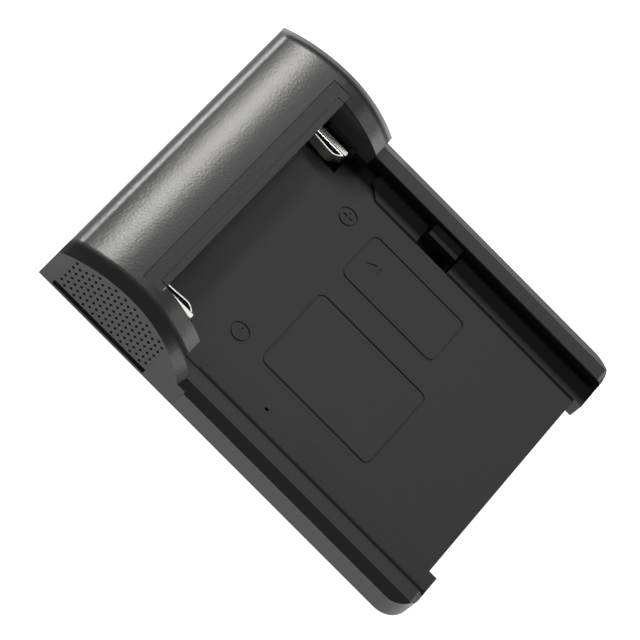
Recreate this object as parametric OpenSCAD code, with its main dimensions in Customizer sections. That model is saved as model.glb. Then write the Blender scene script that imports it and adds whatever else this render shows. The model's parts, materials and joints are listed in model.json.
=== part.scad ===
// Charging plate of a camera battery charger.
// X runs across the battery, +Y points to the head and the plate stands on z = 0.
// A station is a distance from the rear face of the head towards the open front.

/* [Plate] */
// Width over the outer faces
plate_w = 45.6; // [44:0.1:50]
// Length from the rear face of the head to the front of the rails
plate_l = 53.8; // [50:0.1:70]
// Height of the bay's floor
floor_z = 2.26; // [2.1:0.02:2.6]
// Height of the side rails
rail_z = 3.55; // [3.3:0.05:5]
// Width of the sloping edge along each rail
rail_edge_w = 1.33; // [0.8:0.01:1.6]
// Height of the sloping edge along each rail
rail_edge_h = 0.69; // [0.3:0.01:0.9]
// Width of the battery that the bay takes
battery_w = 38.4; // [37:0.1:39.4]
// Clearance on each side of the battery
battery_gap = 0.4; // [0.2:0.05:0.6]
// Radius of the front corners in plan
corner_r = 3; // [1:0.1:4]
// Radius of the top edge at the front ends of the rails
nose_r = 0.95; // [0.4:0.05:1.2]
// Distance of the floor's front edge behind the rails' ends
front_step = 1.1; // [0.4:0.1:2]

/* [Side strips] */
// Height of the strip beside each rail over the floor
strip_h = 0.25; // [0.1:0.05:0.5]
// Width of the strip beside each rail
strip_w = 3.68; // [3:0.02:4.5]
// Station where the strips begin
strip_s = 19.4; // [18.5:0.1:22]
// Size of the cut corner at the start of a strip
strip_cut = 1.5; // [0.5:0.1:2]

/* [Head] */
// Height of the head
head_h = 8; // [7.6:0.1:8.6]
// Station of the head's crest
crest_s = 9.2; // [8.8:0.1:9.8]
// Radius of the head's long curve behind the crest
rear_r = 18.4; // [16:0.1:22]
// Radius of the head's curve in front of the crest
front_r = 14.3; // [12.8:0.1:16]
// Distance from the middle to the sloping shoulder at each end of the head
shoulder_x = 20.9; // [20:0.05:21.6]
// Slope of the shoulder
shoulder_slope = 0.52; // [0.3:0.02:0.9]
// Radius that eases the top of the head into the shoulder
shoulder_r = 2.4; // [1:0.1:4]
// Lean of the head's outer faces, as inset per unit of height
face_lean = 0.08; // [0:0.01:0.15]
// Radius of the rear top edge
rear_edge_r = 0.5; // [0.3:0.1:1.6]
// Thickness of the head's skin
skin_t = 1.3; // [1:0.05:1.5]
// Thickness of the wall between the head's hollow and the bay
front_wall_t = 0.8; // [0.6:0.05:1]

/* [Cheeks] */
// Distance between the inner faces of the two cheeks
cheek_gap_w = 36.2; // [35.6:0.1:37.4]
// Station where the blocks of the cheeks end
cheek_end_s = 17.4; // [16.8:0.1:18]
// Station where the left cheek's skin runs out on the rail
skin_end_s = 20.1; // [19.5:0.1:20.5]
// Thickness of the skin of the left cheek that runs on down to the rail
cheek_skin_t = 1.7; // [1.4:0.05:2.2]
// Height of the rib at the foot of each cheek
rib_z = 3.9; // [2.9:0.05:4.2]
// Width of the rib at the foot of each cheek
rib_w = 0.65; // [0.4:0.05:0.8]
// Length of the rib at the foot of each cheek
rib_l = 4.2; // [3:0.1:5]

/* [Front cover of the head] */
// Station of the lip, which is the front face of the cover
lip_s = 10.7; // [10.4:0.1:11]
// Depth of the cover's top leg
cover_top_w = 2.55; // [2:0.05:3]
// Thickness of the cover's top leg
cover_top_t = 0.9; // [0.7:0.05:1.1]
// Thickness of the cover's front leg
cover_front_t = 0.5; // [0.4:0.05:0.7]
// Length of the cover's top leg across the head
cover_l = 38.6; // [37.6:0.1:39]
// Gap between the cover and the head round it
cover_gap = 0.06; // [0.04:0.01:0.1]
// Length of the slit at each end of the cover's lip
slit_l = 0.9; // [0.5:0.1:1.2]
// Width of the slit at each end of the cover's lip
slit_w = 0.12; // [0.08:0.01:0.2]
// Width of the shallow line that joins the two slits
lip_line_w = 0.1; // [0.05:0.01:0.15]

/* [Hook] */
// Station where the hook tab begins
hook_s = 27.8; // [24:0.1:34]
// Length of the hook tab along the rail
hook_l = 4.25; // [3:0.05:6]
// Distance that the hook tab projects from the rail
hook_out = 2.3; // [1.6:0.05:2.6]
// Height of the top of the hook tab
hook_z = 3.15; // [3:0.05:3.4]
// Thickness of the hook tab
hook_t = 0.55; // [0.4:0.05:0.7]
// Width of the raised lip at the hook tab's tip
hook_lip_w = 0.6; // [0.4:0.05:0.8]
// Height of the raised lip at the hook tab's tip
hook_lip_h = 0.15; // [0.05:0.05:0.3]
// Clearance of the relief hole round the hook tab
hook_gap = 0.35; // [0.2:0.05:0.5]
// Radius of the pin hole beside the other rail
pin_hole_r = 0.3; // [0.2:0.05:0.4]
// Depth of the pin hole beside the other rail
pin_hole_depth = 0.8; // [0.5:0.1:1]

/* [Marks] */
// Radius of the centre line of each round polarity mark
mark_r = 1.15; // [0.8:0.05:1.5]
// Length of the bars in the polarity marks
mark_bar = 1.38; // [0.8:0.02:1.6]
// Width of the moulded lines
line_w = 0.22; // [0.15:0.01:0.3]
// Depth of the moulded lines
line_depth = 0.12; // [0.05:0.01:0.2]
// Distance between the two polarity marks
mark_gap = 22.34; // [20:0.02:26]
// Place across the plate of the middle between the marks
mark_mid_x = 0.28; // [-1:0.02:1]
// Station of the polarity marks
mark_s = 19.95; // [19:0.05:22]
// Width of the large label frame
label_w = 12.65; // [10:0.05:14]
// Length of the large label frame
label_l = 16.4; // [12:0.1:18]
// Place across the plate of the large label frame's middle
label_x = -5.25; // [-7:0.05:-4]
// Station of the large label frame's middle
label_s = 31.8; // [30:0.1:34]
// Width of the small label frame
tag_w = 7.4; // [6:0.1:9]
// Length of the small label frame
tag_l = 14.2; // [10:0.1:16]
// Place across the plate of the small label frame's middle
tag_x = 8.75; // [8:0.05:10]
// Station of the small label frame's middle
tag_s = 30.7; // [29:0.1:33]
// Radius of the corners of both label frames
frame_r = 0.9; // [0.5:0.1:1.5]
// Distance of the arrow's middle from the head end of the small frame
arrow_inset = 2.1; // [1.5:0.1:3]
// Radius of the arrow's triangle
arrow_r = 0.9; // [0.5:0.1:1.2]
// Length of the bar under the arrow
bar_w = 1.5; // [1:0.1:2]

/* [Contacts] */
// Distance of each contact's blade from the middle
blade_x = 15.37; // [15:0.01:15.8]
// Thickness of the contact's blade
blade_t = 0.98; // [0.6:0.02:1.1]
// Radius of the blade's top edges
blade_edge_r = 0.2; // [0.05:0.05:0.3]
// Height of the top edge of the contacts
blade_z = 4.5; // [4.2:0.05:5]
// Height of the lower edge of the contacts
blade_foot_z = 2.7; // [2.6:0.05:3]
// Station of the front end of the contacts
blade_end_s = 15; // [14.5:0.1:15.6]
// Radius of the blade's front corners
blade_nose_r = 0.35; // [0.1:0.05:0.45]
// Thickness of the spring leaf on the inner side of the blade
leaf_t = 0.16; // [0.1:0.02:0.25]
// Distance between the blade and the spring leaf at its bulge
leaf_bulge = 0.6; // [0.3:0.05:0.9]
// Station of the leaf's bulge
bulge_s = 13.6; // [12.6:0.1:14]
// Distance between the blade and the leaf's free end
leaf_rest = 0.4; // [0.2:0.05:0.6]
// Distance between the blade and the outer side of its well
well_margin = 0.35; // [0.2:0.05:0.5]
// Width of the well in the floor under each contact
well_w = 2.15; // [1.9:0.05:2.4]
// Length of the well in the floor under each contact
well_l = 4.8; // [4.6:0.1:5.2]
// Depth of the well in the floor under each contact
well_depth = 0.9; // [0.5:0.05:1]

/* [Inside the head] */
// Thickness of the base cover
base_t = 0.8; // [0.6:0.05:0.9]
// Gap between the base cover and the rim round it
base_gap = 0.1; // [0.05:0.01:0.2]
// Width of the rim round the base cover
rim_w = 1.6; // [1.3:0.1:2]
// Height of the base cover's ribs, which carry the circuit board
board_rib_h = 0.5; // [0.4:0.05:0.7]
// Thickness of the circuit board
board_t = 0.8; // [0.6:0.1:1]
// Length of the circuit board across the head
board_l = 36.4; // [35.6:0.1:37]
// Depth of the circuit board from its rear to its front edge
board_w = 6.4; // [6:0.1:6.6]
// Station of the circuit board's rear edge
board_s = 2.6; // [2.4:0.1:2.8]
// Width of each contact holder
holder_w = 3.6; // [3.2:0.1:4]
// Depth of each contact holder
holder_l = 2.2; // [1.8:0.1:2.4]
// Height of each contact holder over the board
holder_h = 3.5; // [3.2:0.1:3.7]
// Wall of each contact holder behind the contact's root
holder_wall_t = 0.3; // [0.2:0.05:0.4]
// Room between the contact holders and the ends of the head's hollow
hollow_gap = 0.7; // [0.5:0.1:1]
// Length of the foot with which each contact stands on the board
foot_l = 0.9; // [0.6:0.1:1.2]
// Clearance of the blade in its holder and in the walls
blade_gap = 0.05; // [0.03:0.01:0.1]
// Distance of the outer charging pads from the middle
pad_x = 7; // [6:0.1:9]
// Side of each square charging pad
pad_w = 3; // [2.4:0.1:3.2]
// Thickness of each charging pad
pad_t = 0.3; // [0.2:0.05:0.4]
// Clearance between a charging pad and its window in the base cover
window_gap = 0.3; // [0.2:0.05:0.4]
// Length of the resistor
resistor_l = 3.2; // [2:0.1:3.4]
// Width of the resistor
resistor_w = 1.6; // [1.2:0.1:2]
// Height of the resistor
resistor_h = 0.6; // [0.4:0.1:0.7]

/* [Screws and grips] */
// Distance of the cover screws from the middle
screw_x = 11; // [10:0.1:12]
// Station of the cover screws
screw_s = 5.8; // [5.4:0.1:6.2]
// Radius of the screw's shank
screw_r = 0.9; // [0.7:0.05:1]
// Radius of the screw's head
screw_head_r = 1.6; // [1.4:0.05:1.8]
// Height of the screw's sloping head
screw_head_h = 0.7; // [0.6:0.05:0.75]
// Length of each arm of the screw's cross recess, from tip to tip
recess_l = 1.9; // [1.4:0.1:2.4]
// Width of the arms of the screw's cross recess
recess_w = 0.3; // [0.2:0.05:0.4]
// Depth of the screw's cross recess
recess_depth = 0.4; // [0.2:0.05:0.6]
// Length of the screw
screw_l = 5; // [4:0.1:5.4]
// Radius of the boss round each screw
boss_r = 1.9; // [1.7:0.05:2.2]
// Height of the grip slot's lower edge
slot_z = 0.3; // [0.2:0.05:0.6]
// Height of the grip slot along each end of the head
slot_h = 0.6; // [0.4:0.05:0.7]
// Depth of the grip slot along each end of the head
slot_depth = 0.7; // [0.4:0.05:0.9]
// Station where the grip slot begins
slot_s = 1.8; // [1.5:0.1:3]
// Length of the grip slot
slot_l = 13.7; // [12:0.1:15]
// Depth of the shallow panel that holds the grip pits
panel_depth = 0.08; // [0.04:0.01:0.12]
// Distance of the panel's edge below the top of the head
panel_margin = 1.05; // [1:0.05:1.3]
// Distance between the grip pits along a row
pit_pitch = 1.41; // [1:0.01:1.8]
// Distance between the rows of grip pits
pit_row_h = 0.435; // [0.4:0.005:0.8]
// Height of the lowest row of grip pits
pit_z = 1.31; // [1.2:0.01:2]
// Distance of the first grip pits from the end of the panel
pit_inset = 0.47; // [0.3:0.01:0.7]
// Side of each square grip pit
pit_w = 0.33; // [0.2:0.01:0.4]
// Depth of the grip pits
pit_depth = 0.3; // [0.2:0.05:0.4]
// Distance of the highest grip pits below the top of the head
pit_margin = 1.35; // [1.3:0.05:2]

/* [Hidden] */
$fn = 64;
tiny = 0.01;
half_w = plate_w / 2;
bay_w = battery_w + 2 * battery_gap;
face_z = rail_z - rail_edge_h;
strip_z = floor_z + strip_h;
strip_x = bay_w / 2 - strip_w;
floor_end_s = plate_l - front_step;
rear_centre_z = head_h - rear_r;
front_centre_z = head_h - front_r;
wall_s = lip_s - cover_front_t;
hollow_end_s = wall_s - front_wall_t;
cover_s = lip_s - cover_top_w;
cover_z = head_h - (lip_s - crest_s) * (lip_s - crest_s) / 2 / front_r;
board_z = base_t + board_rib_h;
board_front_s = board_s + board_w;
rim_front_s = floor_end_s - rim_w;
hollow_top_z = cover_z - cover_top_t - front_wall_t;
pilot_r = screw_r + blade_gap;
well_x = blade_x + blade_t + well_margin;
leaf_end_s = lip_s + 3 * blade_gap;
leaf_root_s = blade_end_s - blade_nose_r;
holder_z = board_z + board_t;
holder_end_s = hollow_end_s - cover_gap;
blade_root_s = holder_end_s - holder_l + holder_wall_t;
blade_mid_x = blade_x + blade_t / 2;
hollow_x = blade_mid_x + holder_w / 2 + hollow_gap;
rib_s = lip_s + rib_w;
shoulder_turn = atan(shoulder_slope);
shoulder_ease = shoulder_r * tan(shoulder_turn / 2);
leaf_steps = 12;

// Moves children from the rear face of the head to a station
module at_station(s) {
    translate([0, plate_l / 2 - s, 0]) children();
}

// A block from x0 to x1, between two stations and two heights
module block(x0, x1, s0, s1, z0, z1) {
    translate([x0, plate_l / 2 - s1, z0]) cube([x1 - x0, s1 - s0, z1 - z0]);
}

// A profile drawn as stations against heights, run along X over the given length
module run_across(length) {
    translate([length / 2, plate_l / 2, 0]) rotate([90, 0, -90]) linear_extrude(length) children();
}

// An outline drawn as places across the plate against stations, raised from one height to another
module raise(z0, z1) {
    translate([0, plate_l / 2, z0]) mirror([0, 1, 0]) linear_extrude(z1 - z0) children();
}

// The same shape on both sides of the middle
module both_sides() {
    children();
    mirror([1, 0, 0]) children();
}

// Height of the head's top over the middle of the plate at a station
function top_z(s) = s < crest_s ? rear_centre_z + sqrt(pow(rear_r, 2) - pow(crest_s - s, 2))
    : front_centre_z + sqrt(pow(front_r, 2) - pow(s - crest_s, 2));

// Half of the wheel's rim in section: flat top, eased into the sloping shoulder
module rim_half(r) {
    flat_x = shoulder_x - shoulder_ease;
    polygon([[0, 0], [r, 0], [r, flat_x],
        [r - shoulder_ease * sin(shoulder_turn), shoulder_x + shoulder_ease * cos(shoulder_turn)],
        [r - shoulder_slope * (half_w - shoulder_x), half_w], [0, half_w]]);
    translate([r - shoulder_r, flat_x]) circle(shoulder_r);
}

// A flat wheel lying across the plate, with the head's curve as its rim and sloping shoulders
module shouldered_wheel(r, centre_z) {
    at_station(crest_s) translate([0, 0, centre_z]) rotate([0, 90, 0]) rotate_extrude($fn = 180) {
        rim_half(r);
        mirror([0, 1]) rim_half(r);
    }
}

// Side view of everything behind the crest, with the rear top edge rounded into the long curve
module rear_profile() {
    round_z = rear_centre_z + sqrt(pow(rear_r - rear_edge_r, 2) - pow(crest_s - rear_edge_r, 2));
    top_s = rear_edge_r - (head_h + rear_edge_r - round_z) / (round_z - rear_centre_z)
        * (crest_s - rear_edge_r);
    translate([rear_edge_r, round_z]) circle(rear_edge_r);
    polygon([[0, 0], [0, round_z], [rear_edge_r, round_z], [top_s, head_h + rear_edge_r],
        [crest_s, head_h + rear_edge_r], [crest_s, 0]]);
}

// Head and cheeks as one curved solid, before the bay and the hollow are cut. Only the left cheek has
// a skin that runs on down to the rail.
module head_solid() {
    intersection() {
        shouldered_wheel(rear_r, rear_centre_z);
        run_across(plate_w) rear_profile();
    }
    intersection() {
        shouldered_wheel(front_r, front_centre_z);
        union() {
            block(-half_w, half_w, crest_s, cheek_end_s, 0, head_h);
            block(-half_w, cheek_skin_t - half_w, crest_s, skin_end_s, 0, head_h);
        }
    }
}

// Wedge outside a leaning end face of the right side, up to a station
module lean_cut(end_s) {
    translate([0, plate_l / 2 + 1, 0]) rotate([90, 0, 0]) linear_extrude(end_s + 1)
        polygon([[half_w, 0], [half_w + 1, 0], [half_w + 1, head_h], [half_w - face_lean * head_h, head_h]]);
}

// Floor and rails as one tray with sloping outer edges and rounded front ends
module tray_solid() {
    intersection() {
        translate([0, plate_l / 2, 0]) rotate([90, 0, 0]) linear_extrude(plate_l)
            polygon([[-half_w, 0], [half_w, 0], [half_w, face_z], [half_w - rail_edge_w, rail_z],
                [rail_edge_w - half_w, rail_z], [-half_w, face_z]]);
        raise(0, rail_z) {
            translate([-half_w, 0]) square([plate_w, plate_l - corner_r]);
            translate([corner_r - half_w, 0]) square([plate_w - 2 * corner_r, plate_l]);
            for (side = [-1, 1])
                translate([side * (half_w - corner_r), plate_l - corner_r]) circle(corner_r);
        }
        run_across(plate_w) {
            square([plate_l - nose_r, rail_z]);
            square([plate_l, rail_z - nose_r]);
            translate([plate_l - nose_r, rail_z - nose_r]) circle(nose_r);
        }
    }
}

// Plan of the bay's right half over the side strips
module bay_half() {
    polygon([[0, lip_s], [cheek_gap_w / 2, lip_s], [cheek_gap_w / 2, cheek_end_s], [bay_w / 2, cheek_end_s],
        [bay_w / 2, plate_l + 1], [0, plate_l + 1]]);
}

// Plan of the bay's right half between the side strips
module floor_half() {
    polygon([[0, lip_s], [cheek_gap_w / 2, lip_s], [cheek_gap_w / 2, cheek_end_s], [bay_w / 2, cheek_end_s],
        [bay_w / 2, strip_s], [strip_x + strip_cut, strip_s], [strip_x, strip_s + strip_cut],
        [strip_x, plate_l + 1], [0, plate_l + 1]]);
}

// Space of the battery bay, with the contact wells, the relief hole and the open front
module bay_cut() {
    both_sides() {
        raise(strip_z, 2 * head_h) bay_half();
        raise(floor_z, strip_z + tiny) floor_half();
        block(-tiny, strip_x, floor_end_s, plate_l + 1, -1, 2 * floor_z);
        block(well_x - well_w, well_x, lip_s, lip_s + well_l, floor_z - well_depth, 2 * floor_z);
    }
    block(strip_x - hook_gap / 2, bay_w / 2, hook_s - hook_gap, hook_s + hook_l + hook_gap, 0, strip_z + tiny);
    at_station(hook_s) translate([-strip_x, 0, strip_z - pin_hole_depth])
        cylinder(pin_hole_depth + 1, r = pin_hole_r);
}

// Rebate for the front cover, with the slots that let the contacts through the wall
module cover_cut() {
    block(-cover_l / 2 - cover_gap, cover_l / 2 + cover_gap, cover_s - cover_gap, lip_s + cover_gap,
        cover_z - cover_top_t - cover_gap, 2 * head_h);
    block(-cheek_gap_w / 2, cheek_gap_w / 2, wall_s - cover_gap, lip_s + tiny, floor_z, 2 * head_h);
    both_sides() blade_slot(hollow_end_s - 1, lip_s);
}

// Slot round the root of a contact between two stations
module blade_slot(s0, s1) {
    block(blade_x - blade_gap, blade_x + blade_t + blade_gap, s0, s1, blade_foot_z - blade_gap,
        blade_z + blade_gap);
}

// Hollow of the head and the rebate for the base cover, both open below
module base_cut() {
    intersection() {
        block(-hollow_x, hollow_x, skin_t, hollow_end_s, -1, hollow_top_z);
        at_station(crest_s) translate([-half_w, 0, rear_centre_z]) rotate([0, 90, 0])
            cylinder(plate_w, r = rear_r - skin_t, $fn = 180);
    }
    block(rim_w - half_w, half_w - rim_w, rim_w, rim_front_s, -1, base_t);
}

// A line round a rectangle with rounded corners, drawn about its own middle
module frame_line(w, l) {
    difference() {
        rounded_plan(w + line_w, l + line_w, frame_r + line_w / 2);
        rounded_plan(w - line_w, l - line_w, frame_r - line_w / 2);
    }
}

// A rectangle with rounded corners, drawn about its own middle
module rounded_plan(w, l, r) {
    square([w - 2 * r, l], center = true);
    square([w, l - 2 * r], center = true);
    for (sx = [-1, 1], sy = [-1, 1])
        translate([sx * (w / 2 - r), sy * (l / 2 - r)]) circle(r);
}

// Round polarity marks, label frames and the arrow, cut a little into the floor
module marks_cut() {
    raise(floor_z - line_depth, floor_z + 1) {
        for (side = [-1, 1])
            translate([mark_mid_x + side * mark_gap / 2, mark_s]) {
                difference() {
                    circle(mark_r + line_w / 2);
                    circle(mark_r - line_w / 2);
                }
                square([mark_bar, line_w], center = true);
                if (side == 1) square([line_w, mark_bar], center = true);
            }
        translate([label_x, label_s]) frame_line(label_w, label_l);
        translate([tag_x, tag_s]) frame_line(tag_w, tag_l);
        translate([tag_x, tag_s - tag_l / 2 + arrow_inset]) {
            rotate(-90) circle(arrow_r, $fn = 3);
            translate([0, arrow_r + line_w / 2]) square([bar_w, line_w], center = true);
        }
    }
}

// Hook tab that the battery slides under, with a raised lip at its tip
module hook_tab() {
    tip_x = bay_w / 2 - hook_out;
    block(tip_x, bay_w / 2 + tiny, hook_s, hook_s + hook_l, hook_z - hook_t, hook_z);
    block(tip_x, tip_x + hook_lip_w, hook_s, hook_s + hook_l, hook_z - hook_t, hook_z + hook_lip_h);
}

// Bosses for the two cover screws, hanging from the roof of the hollow
module bosses() {
    both_sides() at_station(screw_s) translate([screw_x, 0, base_t])
        cylinder(hollow_top_z - base_t, r = boss_r);
}

// Shallow panel on the end face of the head, bounded by the head's curve
module grip_panel() {
    intersection() {
        run_across(plate_w) {
            intersection() {
                translate([crest_s, rear_centre_z]) circle(rear_r - panel_margin, $fn = 180);
                translate([slot_s, slot_z]) square([crest_s - slot_s, head_h]);
            }
            intersection() {
                translate([crest_s, front_centre_z]) circle(front_r - panel_margin, $fn = 180);
                translate([crest_s - tiny, slot_z]) square([slot_s + slot_l - crest_s + tiny, head_h]);
            }
        }
        translate([-panel_depth, 0, 0]) lean_cut(cheek_end_s);
    }
}

// Staggered rows of square pits on the panel, as far up as the head's curve lets them
module grip_pits() {
    for (row = [0:(head_h - pit_z) / pit_row_h], column = [0:slot_l / pit_pitch]) {
        s = slot_s + pit_inset + (column + (1 - row % 2) / 2) * pit_pitch;
        z = pit_z + row * pit_row_h;
        if (z < top_z(s) - pit_margin && s < slot_s + slot_l - pit_w)
            at_station(s) translate([half_w - face_lean * z, 0, z]) rotate([45, 0, 0])
                cube([2 * pit_depth, pit_w, pit_w], center = true);
    }
}

// Moulded body: head, cheeks, rails and floor in one piece
module plate_body() {
    color([0.17, 0.17, 0.18]) difference() {
        union() {
            difference() {
                union() {
                    head_solid();
                    tray_solid();
                }
                lean_cut(cheek_end_s);
                mirror([1, 0, 0]) lean_cut(skin_end_s);
                bay_cut();
                cover_cut();
                base_cut();
                marks_cut();
            }
            bosses();
            hook_tab();
            both_sides()
                block(cheek_gap_w / 2 - rib_w, cheek_gap_w / 2 + tiny, rib_s, rib_s + rib_l,
                    floor_z - tiny, rib_z);
        }
        both_sides() {
            at_station(screw_s) translate([screw_x, 0, 0]) cylinder(screw_l + holder_wall_t, r = pilot_r);
            block(half_w - slot_depth, half_w + 1, slot_s, slot_s + slot_l, slot_z, slot_z + slot_h);
            grip_panel();
            grip_pits();
        }
    }
}

// Cover over the head's front edge: a flat top leg and a front leg down to the floor
module contact_cover() {
    leg_x = cheek_gap_w / 2 - cover_gap;
    color([0.2, 0.2, 0.21]) difference() {
        union() {
            block(-cover_l / 2, cover_l / 2, cover_s, lip_s, cover_z - cover_top_t, cover_z);
            block(-leg_x, leg_x, wall_s, lip_s, floor_z + cover_gap, cover_z);
        }
        block(-leg_x, leg_x, lip_s - slit_l, lip_s - slit_l + lip_line_w, cover_z - line_depth, cover_z + 1);
        both_sides() {
            blade_slot(wall_s - 1, lip_s + 1);
            block(leg_x - slit_w, leg_x, lip_s - slit_l, lip_s + 1, cover_z - cover_top_t - 1, cover_z + 1);
        }
    }
}

// Flat cover under the plate, with windows for the charging pads and ribs that carry the board
module base_cover() {
    window = pad_w + 2 * window_gap;
    color([0.13, 0.13, 0.14]) difference() {
        union() {
            block(rim_w + base_gap - half_w, half_w - rim_w - base_gap, rim_w + base_gap,
                rim_front_s - base_gap, 0, base_t);
            for (s = [board_s + base_gap, board_front_s - base_gap - base_t])
                block(-board_l / 2, board_l / 2, s, s + base_t, base_t, board_z);
        }
        for (x = [-pad_x, 0, pad_x])
            at_station(screw_s) translate([x - window / 2, -window / 2, -1]) cube([window, window, base_t + 2]);
        both_sides() at_station(screw_s) translate([screw_x, 0, 0]) {
            translate([0, 0, -1]) cylinder(base_t + 2, r = pilot_r);
            cylinder(screw_head_h + blade_gap, r1 = screw_head_r + 2 * blade_gap, r2 = pilot_r);
        }
    }
}

// Distance between the blade and the leaf at a station
function leaf_gap(s) = s > bulge_s
    ? leaf_bulge * sin(90 * (leaf_root_s - s) / (leaf_root_s - bulge_s))
    : leaf_rest + (leaf_bulge - leaf_rest) * (1 + cos(180 * (bulge_s - s) / (bulge_s - leaf_end_s))) / 2;
function leaf_station(i) = leaf_root_s + (leaf_end_s - leaf_root_s) * i / leaf_steps;
function leaf_point(s, shift) = [blade_x - leaf_gap(s) - shift, s];

// Spring contact on the right side: thick straight blade with a bowed leaf folded back along it
module folded_contact() {
    intersection() {
        translate([blade_x, plate_l / 2, blade_foot_z]) rotate([90, 0, 0]) linear_extrude(plate_l) {
            square([blade_t, blade_z - blade_foot_z - blade_edge_r]);
            translate([blade_edge_r, 0]) square([blade_t - 2 * blade_edge_r, blade_z - blade_foot_z]);
            for (x = [blade_edge_r, blade_t - blade_edge_r])
                translate([x, blade_z - blade_foot_z - blade_edge_r]) circle(blade_edge_r);
        }
        raise(0, head_h) {
            translate([blade_x, blade_root_s]) square([blade_t, blade_end_s - blade_nose_r - blade_root_s]);
            translate([blade_x + blade_nose_r, blade_root_s])
                square([blade_t - 2 * blade_nose_r, blade_end_s - blade_root_s]);
            for (x = [blade_nose_r, blade_t - blade_nose_r])
                translate([blade_x + x, blade_end_s - blade_nose_r]) circle(blade_nose_r);
        }
    }
    raise(blade_foot_z, blade_z - blade_edge_r)
        polygon(concat([for (i = [0:leaf_steps]) leaf_point(leaf_station(i), i == 0 ? -leaf_t : 0)],
            [for (i = [leaf_steps:-1:0]) leaf_point(leaf_station(i), leaf_t)]));
    block(blade_x, blade_x + blade_t, blade_root_s, blade_root_s + foot_l, holder_z, blade_foot_z + tiny);
}

module minus_contact() {
    color([0.85, 0.84, 0.8]) mirror([1, 0, 0]) folded_contact();
}

module plus_contact() {
    color([0.85, 0.84, 0.8]) folded_contact();
}

// Block on the circuit board that grips the root of a contact
module contact_holder() {
    difference() {
        block(blade_mid_x - holder_w / 2, blade_mid_x + holder_w / 2, holder_end_s - holder_l,
            holder_end_s, holder_z, holder_z + holder_h);
        blade_slot(blade_root_s - blade_gap, holder_end_s + 1);
        block(blade_x - blade_gap, blade_x + blade_t + blade_gap, blade_root_s - blade_gap,
            blade_root_s + foot_l + blade_gap, holder_z - 1, blade_foot_z);
    }
}

module minus_holder() {
    color([0.75, 0.72, 0.62]) mirror([1, 0, 0]) contact_holder();
}

module plus_holder() {
    color([0.75, 0.72, 0.62]) contact_holder();
}

// Circuit board with clearance holes for the bosses
module circuit_board() {
    color([0.1, 0.35, 0.2]) difference() {
        block(-board_l / 2, board_l / 2, board_s, board_front_s, board_z, board_z + board_t);
        both_sides() at_station(screw_s) translate([screw_x, 0, 0]) cylinder(head_h, r = boss_r + window_gap);
    }
}

// Square charging pad under the board, at a place across the plate
module charging_pad(x) {
    color([0.85, 0.68, 0.3]) at_station(screw_s) translate([x - pad_w / 2, -pad_w / 2, board_z - pad_t])
        cube([pad_w, pad_w, pad_t]);
}

module minus_pad() {
    charging_pad(-pad_x);
}

module code_pad() {
    charging_pad(0);
}

module plus_pad() {
    charging_pad(pad_x);
}

// Resistor whose value tells the charger which battery the plate takes
module code_resistor() {
    color([0.08, 0.08, 0.08]) at_station(screw_s) translate([pad_w / 2, -resistor_w / 2, holder_z])
        cube([resistor_l, resistor_w, resistor_h]);
}

// Two countersunk screws with cross recesses, driven up into the bosses
module cover_screws() {
    color([0.6, 0.6, 0.62]) both_sides() at_station(screw_s) translate([screw_x, 0, blade_gap]) difference() {
        union() {
            cylinder(screw_head_h, r1 = screw_head_r, r2 = screw_r);
            cylinder(screw_l - blade_gap, r = screw_r);
        }
        for (a = [0, 90])
            rotate(a) cube([recess_l, recess_w, 2 * recess_depth], center = true);
    }
}

plate_body();
contact_cover();
base_cover();
minus_contact();
plus_contact();
minus_holder();
plus_holder();
circuit_board();
minus_pad();
plus_pad();
code_pad();
code_resistor();
cover_screws();
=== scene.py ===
"""Looks of the charging plate: materials, floor, soft lights and the camera.

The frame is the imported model's, in metres: +Y points to the head and the plate stands on z = 0.
The solids are shown as they are, so every shape and place on the plate comes from the CAD.
"""
import json
import math

import bpy
from mathutils import Matrix, Vector

MM = 0.001
WHITE = (1, 1, 1, 1)

# Camera, from a fit to the straight edges of the plate: angles in degrees, lengths in mm
SENSOR_W = 36.0
LENS = 251.14
CAMERA_LEAN = 2.965
CAMERA_SIDE = 38.981
CAMERA_ROLL = 44.887
CAMERA_DISTANCE = 493.209
AIM = (-0.023, 1.24, 0.0)
CLIP_NEAR = 10.0
CLIP_FAR = 10000.0

# Grain of every surface: the clouds of tone and gloss are CLOUD mm wide, the fine relief is set for each
CLOUD = 6.0
CLOUD_DETAIL = 3.0
GRAIN_DETAIL = 2.0
TONE_CHANGE = 0.06
GLOSS_CHANGE = 0.008
NOISE_LOW = 0.2
NOISE_HIGH = 0.8

# Surfaces of the material slots: grain and relief are the width and the height of the fine relief in mm
BODY = {"colour": (0.025, 0.025, 0.0256), "roughness": 0.286, "grain": 0.3, "relief": 0.015}
SURFACES = {
    "body_plastic": BODY,
    "cover_plastic": BODY,
    "base_plastic": {"colour": (0.025, 0.025, 0.027), "roughness": 0.48, "grain": 0.2, "relief": 0.012},
    "contact_metal": {"colour": (0.86, 0.85, 0.82), "roughness": 0.2, "grain": 0.08, "relief": 0.0015,
                      "stretch": (1, 0.06, 1), "metallic": 1.0},
    "holder_plastic": {"colour": (0.55, 0.52, 0.42), "roughness": 0.5, "grain": 0.3, "relief": 0.01},
    "board": {"colour": (0.03, 0.16, 0.07), "roughness": 0.4, "grain": 0.4, "relief": 0.006,
              "stretch": (0.3, 1, 1)},
    "pad_metal": {"colour": (0.85, 0.66, 0.28), "roughness": 0.3, "grain": 0.1, "relief": 0.002,
                  "stretch": (0.08, 1, 1), "metallic": 1.0},
    "resistor": {"colour": (0.02, 0.02, 0.02), "roughness": 0.5, "grain": 0.15, "relief": 0.006},
    "screw_metal": {"colour": (0.5, 0.5, 0.52), "roughness": 0.32, "grain": 0.1, "relief": 0.003,
                    "stretch": (1, 0.1, 1), "metallic": 1.0},
}

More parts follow.
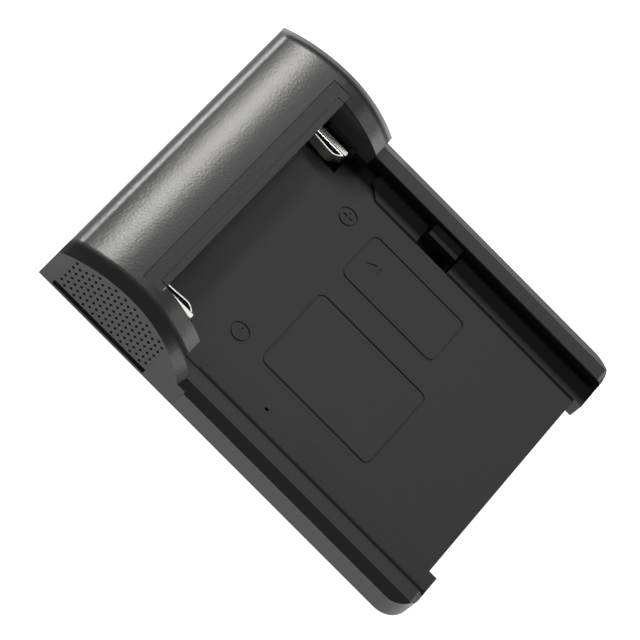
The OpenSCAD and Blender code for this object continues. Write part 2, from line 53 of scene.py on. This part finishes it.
# Below BAY_TOP the body is rougher by BAY_EXTRA, and the change takes BAY_BLUR on either side. Heights
# are in mm
BAY_TOP = 2.65
BAY_BLUR = 0.05
BAY_EXTRA = 0.11

# The shading near the head's rear edge turns to the rear, not at all at EDGE_Y and by EDGE_TURN from
# EDGE_END on. Both places are in mm
EDGE_Y = 25.6
EDGE_END = 26.6
EDGE_TURN = 0.55

# Painted shade, as steps in mm: the strip and the hook tab beside the right rail and a line along the left
# rail get a dark tone and less shine, painted where shade lies beside the rails. The sloping edge of the
# right rail keeps the body's tone and only shines less. A shine is the specular level, which is 0.5
# elsewhere
RIGHT_STRIP_PAINTED_SHADE = (("X", 15.7, 16.9), ("X", 20.4, 20.3), ("Z", 3.42, 3.22), ("Y", 16.1, 15.9))
LEFT_LINE_PAINTED_SHADE = (("X", -18.25, -18.4), ("X", -20.4, -20.3), ("Z", 3.3, 3.2), ("Y", 16.1, 15.9))
RIGHT_EDGE = (("X", 21.3, 21.6), ("Y", 6.5, 6.0))
PAINTED_SHADE_TONE = (0.005, 0.005, 0.005)
STRIP_SHINE = 0.06
LINE_SHINE = 0.2
EDGE_SHINE = 0.2

# Floor, FLOOR_SIZE m wide and FLOOR_DROP mm below the plate: its glow falls from GLOW_REACH to GLOW_END,
# in mm from the middle of the plate
FLOOR_SIZE = 8.0
FLOOR_DROP = 0.02
FLOOR = {"colour": (0.45, 0.45, 0.45), "roughness": 0.9, "grain": 0.5, "relief": 0.0}
FLOOR_GLOW = 1.03
FLOOR_FAR_GLOW = 0.45
GLOW_REACH = 69.0
GLOW_END = 110.0

# Surroundings: the band ends at BAND_TOP and the dim room starts at ROOM_START, as sines of the elevation
HORIZON_TONE = 0.6
BAND_TOP = 0.09
ROOM_START = 0.2
ROOM_TONE = 0.02

# Lights, LAMP_DISTANCE m away: places and sizes are in degrees, seen from the plate, and the azimuth
# counts from +X towards +Y
LAMP_DISTANCE = 0.9
WARM = (1.0, 0.99, 0.95)
LIGHTS = {
    "head": {"azimuth": 36, "elevation": 39, "width": 10, "height": 11, "radiance": 29, "colour": WARM},
    "head base": {"azimuth": 16, "elevation": 46, "width": 16, "height": 14, "radiance": 2.1},
    "front right": {"azimuth": -46, "elevation": 20, "width": 12, "height": 12, "radiance": 6.5},
    "front high": {"azimuth": -38, "elevation": 38, "width": 14, "height": 14, "radiance": 2.8},
    "front left": {"azimuth": -98, "elevation": 26, "width": 14, "height": 18, "radiance": 5},
    "rear": {"azimuth": 50, "elevation": 14, "width": 8, "height": 10, "radiance": 27},
    "fill": {"azimuth": -5, "elevation": 51, "width": 22, "height": 22, "radiance": 0.9},
    "left": {"azimuth": 180, "elevation": 22, "width": 16, "height": 16, "radiance": 11},
    "far front": {"azimuth": -135, "elevation": 27, "width": 50, "height": 26, "radiance": 0.45},
    "far rear": {"azimuth": 135, "elevation": 27, "width": 50, "height": 26, "radiance": 0.45},
}

# Numbers of the Mix node's two inputs and its output, for each kind of data
MIX_SOCKETS = {"FLOAT": (2, 3, 0), "RGBA": (6, 7, 2)}


def socket(material, name):
    """The named input of the material's Principled shader."""
    return material.node_tree.nodes["Principled BSDF"].inputs[name]


def source(material, name):
    """What sets the named input of the shader: an output linked to it, or else its own value."""
    entry = socket(material, name)
    return entry.links[0].from_socket if entry.links else entry.default_value


def coordinates(tree, kind="Object"):
    """The outputs X, Y and Z of the shaded point."""
    place = tree.nodes.new("ShaderNodeTexCoord")
    parts = tree.nodes.new("ShaderNodeSeparateXYZ")
    tree.links.new(place.outputs[kind], parts.inputs["Vector"])
    return parts.outputs


def ramp(tree, value, start, end, low=0.0, high=1.0, kind="LINEAR"):
    """Turns a value from start to end into one from low to high, and holds it beyond both."""
    step = tree.nodes.new("ShaderNodeMapRange")
    step.interpolation_type = kind
    for name, number in (("From Min", start), ("From Max", end), ("To Min", low), ("To Max", high)):
        step.inputs[name].default_value = number
    tree.links.new(value, step.inputs["Value"])
    return step.outputs["Result"]


def combine(tree, operation, first, second):
    """The sum or the product of two outputs."""
    both = tree.nodes.new("ShaderNodeMath")
    both.operation = operation
    tree.links.new(first, both.inputs[0])
    tree.links.new(second, both.inputs[1])
    return both.outputs["Value"]


def blend(tree, kind, share, first, second):
    """Goes from the first to the second by a share. Each of the two is an output or a plain value."""
    mix = tree.nodes.new("ShaderNodeMix")
    mix.data_type = kind
    first_input, second_input, result = MIX_SOCKETS[kind]
    tree.links.new(share, mix.inputs[0])
    for number, value in ((first_input, first), (second_input, second)):
        if isinstance(value, bpy.types.NodeSocket):
            tree.links.new(value, mix.inputs[number])
        else:
            mix.inputs[number].default_value = value
    return mix.outputs[result]


def noise(tree, vector, size_mm, detail):
    """A noise from 0 to 1 with features of about the given size."""
    texture = tree.nodes.new("ShaderNodeTexNoise")
    texture.inputs["Scale"].default_value = 1 / (size_mm * MM)
    texture.inputs["Detail"].default_value = detail
    tree.links.new(vector, texture.inputs["Vector"])
    return texture.outputs["Fac"]


def finish(name, colour, roughness, grain, relief, stretch=(1, 1, 1), metallic=0.0):
    """A surface with its own grain: fine relief, and slight changes of tone and gloss.

    A stretch of less than 1 along an axis draws the grain out that way, as brushing does."""
    material = bpy.data.materials.new(name)
    material.use_nodes = True
    tree = material.node_tree
    socket(material, "Metallic").default_value = metallic
    place = tree.nodes.new("ShaderNodeTexCoord")
    fit = tree.nodes.new("ShaderNodeMapping")
    fit.inputs["Scale"].default_value = stretch
    tree.links.new(place.outputs["Object"], fit.inputs["Vector"])
    cloud = noise(tree, fit.outputs["Vector"], CLOUD, CLOUD_DETAIL)

    darker = (*(part * (1 - TONE_CHANGE) for part in colour), 1.0)
    lighter = (*(part * (1 + TONE_CHANGE) for part in colour), 1.0)
    tree.links.new(blend(tree, "RGBA", cloud, darker, lighter), socket(material, "Base Color"))
    gloss = ramp(tree, cloud, NOISE_LOW, NOISE_HIGH, roughness - GLOSS_CHANGE, roughness + GLOSS_CHANGE,
                 "SMOOTHSTEP")
    tree.links.new(gloss, socket(material, "Roughness"))

    bump = tree.nodes.new("ShaderNodeBump")
    bump.inputs["Distance"].default_value = relief * MM
    tree.links.new(noise(tree, fit.outputs["Vector"], grain, GRAIN_DETAIL), bump.inputs["Height"])
    tree.links.new(bump.outputs["Normal"], socket(material, "Normal"))
    return material


def roughen_bay(material):
    """Makes the body rougher below the rails, on the floor of the bay."""
    tree = material.node_tree
    height = coordinates(tree)["Z"]
    extra = ramp(tree, height, (BAY_TOP - BAY_BLUR) * MM, (BAY_TOP + BAY_BLUR) * MM, BAY_EXTRA, 0.0)
    total = combine(tree, "ADD", source(material, "Roughness"), extra)
    tree.links.new(total, socket(material, "Roughness"))


def ease_rear_edge(material):
    """Turns the shading of the head's top near its rear edge, more towards the rear.

    It stands for the soft edge of the real head and leaves the upright faces as they are."""
    tree = material.node_tree
    face = tree.nodes.new("ShaderNodeNewGeometry")
    way = tree.nodes.new("ShaderNodeSeparateXYZ")
    tree.links.new(face.outputs["Normal"], way.inputs["Vector"])
    turn = ramp(tree, coordinates(tree)["Y"], EDGE_Y * MM, EDGE_END * MM, 0.0, EDGE_TURN)
    tilt = tree.nodes.new("ShaderNodeCombineXYZ")
    tree.links.new(combine(tree, "MULTIPLY", turn, way.outputs["Z"]), tilt.inputs["Y"])
    total = tree.nodes.new("ShaderNodeVectorMath")
    total.operation = "ADD"
    tree.links.new(face.outputs["Normal"], total.inputs[0])
    tree.links.new(tilt.outputs["Vector"], total.inputs[1])
    unit = tree.nodes.new("ShaderNodeVectorMath")
    unit.operation = "NORMALIZE"
    tree.links.new(total.outputs["Vector"], unit.inputs[0])
    bump = source(material, "Normal").node
    tree.links.new(unit.outputs["Vector"], bump.inputs["Normal"])


def paint_shade_and_dull(material, steps, tone, shine):
    """Gives the surface another tone and shine where every step is passed; a dark tone there is painted
    shade.

    A step is an axis and two places in mm: nothing changes before the first, all after the second."""
    tree = material.node_tree
    spot = coordinates(tree)
    passed = [ramp(tree, spot[axis], start * MM, end * MM) for axis, start, end in steps]
    share = passed[0]
    for step in passed[1:]:
        share = combine(tree, "MULTIPLY", share, step)
    changes = (("Base Color", "RGBA", (*tone, 1.0)), ("Specular IOR Level", "FLOAT", shine))
    for name, kind, value in changes:
        tree.links.new(blend(tree, kind, share, source(material, name), value), socket(material, name))


def finish_body(material):
    """Adds what is different from place to place on the moulded body, painted shade beside the rails among
    it.
    """
    roughen_bay(material)
    # Painted shade: a dark tone on the strip and the hook tab beside the right rail
    paint_shade_and_dull(material, RIGHT_STRIP_PAINTED_SHADE, PAINTED_SHADE_TONE, STRIP_SHINE)
    # Painted shade: a dark line along the foot of the left rail
    paint_shade_and_dull(material, LEFT_LINE_PAINTED_SHADE, PAINTED_SHADE_TONE, LINE_SHINE)
    paint_shade_and_dull(material, RIGHT_EDGE, BODY["colour"], EDGE_SHINE)
    ease_rear_edge(material)


def dress(nodes):
    """Gives every CAD node its material and its slot's name."""
    looks = {slot: finish(slot, **surface) for slot, surface in SURFACES.items()}
    finish_body(looks["body_plastic"])
    for part in frame["record"]["subparts"]:
        piece = nodes[part["node"]]
        piece.data.materials.clear()
        piece.data.materials.append(looks[part["material_slot"]])


def floor():
    """A wide pale floor that glows white round the plate, so that no shadow shows there, and glows less
    far from it.
    """
    half = FLOOR_SIZE / 2
    corners = [(-half, -half, 0), (half, -half, 0), (half, half, 0), (-half, half, 0)]
    mesh = bpy.data.meshes.new("floor")
    mesh.from_pydata(corners, [], [(0, 1, 2, 3)])
    ground = bpy.data.objects.new("floor", mesh)
    ground.location.z = -FLOOR_DROP * MM
    bpy.context.scene.collection.objects.link(ground)
    paper = finish("floor", **FLOOR)
    tree = paper.node_tree
    place = tree.nodes.new("ShaderNodeTexCoord")
    reach = tree.nodes.new("ShaderNodeVectorMath")
    reach.operation = "LENGTH"
    tree.links.new(place.outputs["Object"], reach.inputs[0])
    glow = ramp(tree, reach.outputs["Value"], GLOW_REACH * MM, GLOW_END * MM, FLOOR_GLOW, FLOOR_FAR_GLOW)
    socket(paper, "Emission Color").default_value = WHITE
    tree.links.new(glow, socket(paper, "Emission Strength"))
    mesh.materials.append(paper)


def surroundings():
    """A dim room with a pale band along the horizon."""
    world = bpy.data.worlds.new("surroundings")
    world.use_nodes = True
    tree = world.node_tree
    tone = ramp(tree, coordinates(tree, "Generated")["Z"], BAND_TOP, ROOM_START, HORIZON_TONE, ROOM_TONE)
    tree.nodes["Background"].inputs["Color"].default_value = WHITE
    tree.links.new(tone, tree.nodes["Background"].inputs["Strength"])
    bpy.context.scene.world = world


def soft_light(name, azimuth, elevation, width, height, radiance, colour=(1, 1, 1)):
    """An area light that faces the plate."""
    turn, rise = math.radians(azimuth), math.radians(elevation)
    way = Vector((math.cos(rise) * math.cos(turn), math.cos(rise) * math.sin(turn), math.sin(rise)))
    lamp = bpy.data.lights.new(name, "AREA")
    lamp.shape = "RECTANGLE"
    lamp.color = colour
    lamp.size = 2 * LAMP_DISTANCE * math.tan(math.radians(width / 2))
    lamp.size_y = 2 * LAMP_DISTANCE * math.tan(math.radians(height / 2))
    lamp.energy = math.pi * radiance * lamp.size * lamp.size_y
    holder = bpy.data.objects.new(name, lamp)
    holder.location = way * LAMP_DISTANCE
    holder.rotation_mode = "QUATERNION"
    holder.rotation_quaternion = (-way).to_track_quat("-Z", "Y")
    bpy.context.scene.collection.objects.link(holder)


def lights():
    """All the studio's soft lights. The one called head makes the long highlight on the head."""
    for name, light in LIGHTS.items():
        soft_light(name, **light)


def camera():
    """Camera at the photograph's angle, turned as the photograph is."""
    lean, side, roll = (math.radians(v) for v in (CAMERA_LEAN, CAMERA_SIDE, CAMERA_ROLL))
    turn = Matrix.Rotation(-side, 3, "Y") @ Matrix.Rotation(-lean, 3, "X") @ Matrix.Rotation(-roll, 3, "Z")
    data = bpy.data.cameras.new("camera")
    data.sensor_width = SENSOR_W
    data.lens = LENS
    data.clip_start = CLIP_NEAR * MM
    data.clip_end = CLIP_FAR * MM
    holder = bpy.data.objects.new("camera", data)
    place = (Vector(AIM) + turn @ Vector((0, 0, CAMERA_DISTANCE))) * MM
    holder.matrix_world = Matrix.Translation(place) @ turn.to_4x4()
    bpy.context.scene.collection.objects.link(holder)
    bpy.context.scene.camera = holder


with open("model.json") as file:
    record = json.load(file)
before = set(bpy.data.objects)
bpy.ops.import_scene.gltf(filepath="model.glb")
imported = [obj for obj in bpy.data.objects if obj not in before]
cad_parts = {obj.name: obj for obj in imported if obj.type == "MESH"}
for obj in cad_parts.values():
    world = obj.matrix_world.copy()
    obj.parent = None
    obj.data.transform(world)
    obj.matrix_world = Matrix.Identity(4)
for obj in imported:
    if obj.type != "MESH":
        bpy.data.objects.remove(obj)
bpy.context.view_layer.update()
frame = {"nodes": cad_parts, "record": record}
dress(frame["nodes"])
floor()
surroundings()
lights()
camera()
bpy.context.scene.view_settings.view_transform = "Standard"
